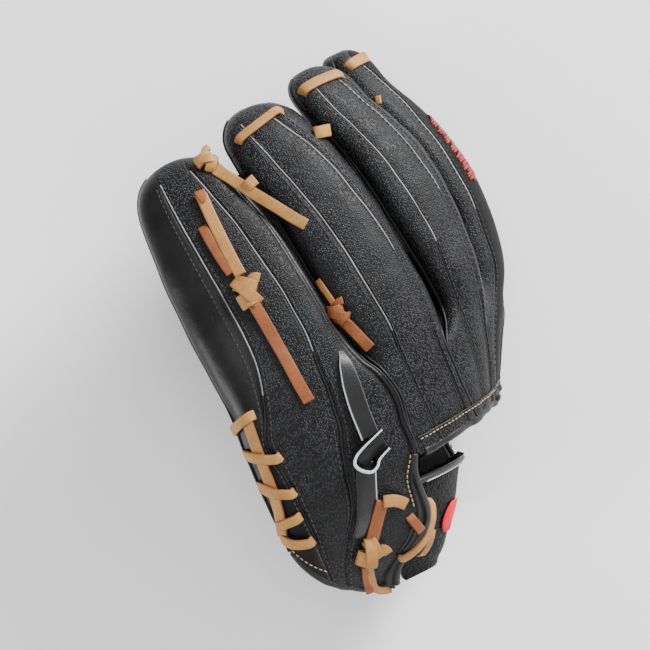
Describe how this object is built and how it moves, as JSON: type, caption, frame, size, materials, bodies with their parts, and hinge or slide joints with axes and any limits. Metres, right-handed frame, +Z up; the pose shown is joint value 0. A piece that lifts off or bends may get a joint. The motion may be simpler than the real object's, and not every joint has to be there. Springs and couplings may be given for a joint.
{
  "type": "baseball glove",
  "caption": "Closed leather fielder's glove with separate finger stalls, back panels, wrist strap, web and laces; the thumb side and the pinky side fold.",
  "frame": {"origin": "centre of the bounding box in X and Y, at its base", "axes": "+Y towards the fingertips, +X towards the web and index finger, +Z up out of the back of the hand"},
  "size_m": [0.1856, 0.2838, 0.1352],
  "materials": {
    "mesh_leather": "woven emboss",
    "smooth_leather": "satin",
    "strap_leather": "scale emboss",
    "lining": "matte",
    "felt": "matte",
    "tan_lace": "satin",
    "black_lace": "satin",
    "binding": "satin"
  },
  "bodies": {
    "hand_side": {"binding_back": "binding", "felt_index": "felt", "felt_middle": "felt", "felt_palm": "felt", "felt_ring": "felt", "lace_finger_tie": "tan_lace", "lace_strap_top": "tan_lace", "lace_tip_index": "tan_lace", "lace_tip_middle": "tan_lace", "lace_tip_ring": "tan_lace", "lace_web": "tan_lace", "lining_back": "lining", "palm_fingers": "smooth_leather", "panel_index": "mesh_leather", "panel_middle": "mesh_leather", "panel_ring": "mesh_leather", "stall_index": "mesh_leather", "stall_middle": "mesh_leather", "stall_ring": "mesh_leather", "strap_lining": "lining", "web_index": "smooth_leather", "wrist_strap": "strap_leather"},
    "thumb_side": {"back_thumb": "smooth_leather", "felt_heel_thumb": "felt", "felt_thumb": "felt", "gusset_thumb": "smooth_leather", "palm_thumb": "smooth_leather", "stall_thumb": "mesh_leather", "strap_thumb": "strap_leather", "web_thumb": "smooth_leather"},
    "pinky_side": {"binding_heel": "binding", "felt_heel_pinky": "felt", "felt_pinky": "felt", "knot_loop": "tan_lace", "knot_tip_pinky": "tan_lace", "knot_valley": "tan_lace", "knot_wrist": "tan_lace", "lace_heel_1": "tan_lace", "lace_heel_2": "tan_lace", "lace_heel_3": "tan_lace", "lace_heel_4": "tan_lace", "lace_heel_edge": "tan_lace", "lace_loop_side": "tan_lace", "lace_loop_tail": "tan_lace", "lace_loop_top": "tan_lace", "lace_pull": "black_lace", "lace_valley_tail": "tan_lace", "lace_wrist": "tan_lace", "lining_pinky": "lining", "palm_pinky": "smooth_leather", "panel_centre": "mesh_leather", "panel_heel": "mesh_leather", "panel_pinky_back": "mesh_leather", "panel_pinky_outer": "smooth_leather", "stall_pinky": "mesh_leather"}
  },
  "joints": [
    {"name": "pocket_fold", "type": "hinge", "parent": "hand_side", "child": "thumb_side", "pos_m": [0.05314, -0.00095, 0.0316], "axis": [-0.2607, -0.9654, 0], "range_deg": [-4, 30]},
    {"name": "pinky_fold", "type": "hinge", "parent": "hand_side", "child": "pinky_side", "pos_m": [-0.01136, -0.00095, 0.1146], "axis": [0.0995, -0.995, 0], "range_deg": [-8, 6]}
  ]
}
